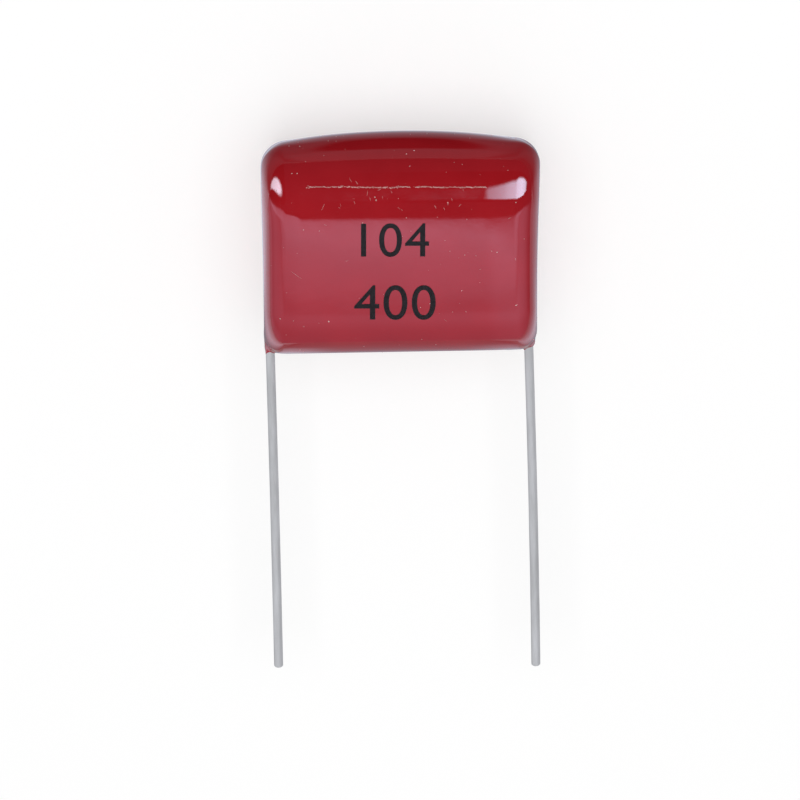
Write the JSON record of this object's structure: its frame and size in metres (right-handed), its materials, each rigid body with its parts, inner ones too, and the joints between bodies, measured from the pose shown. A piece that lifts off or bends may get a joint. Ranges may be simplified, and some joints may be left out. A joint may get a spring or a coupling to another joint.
{
  "type": "polyester film capacitor",
  "caption": "Radial polyester film capacitor: a flattened film roll in a glossy red dipped epoxy coat, with two parallel straight wire leads.",
  "frame": {"origin": "on the flat back face that the capacitor lies on, midway between the leads and halfway up the coat", "axes": "+X along the wound roll, from the left lead to the right one; +Y to the closed top, away from the leads; +Z out of the front face"},
  "size_m": [0.0243, 0.0507, 0.0108],
  "materials": {
    "epoxy_coat": "glossy dipped epoxy, deep red, with fine dust and scuffs",
    "metallised_film": "metallised polyester film, silvery",
    "blank_film": "plain polyester film, clear to milky",
    "sprayed_zinc": "rough sprayed zinc, matt",
    "tinned_wire": "tinned wire, satin, with draw lines"
  },
  "bodies": {
    "root": {"epoxy_coating": "epoxy_coat", "film_winding": "metallised_film", "cover_wrap": "blank_film", "end_spray_left": "sprayed_zinc", "end_spray_right": "sprayed_zinc", "lead_left": "tinned_wire", "lead_right": "tinned_wire"}
  },
  "joints": []
}
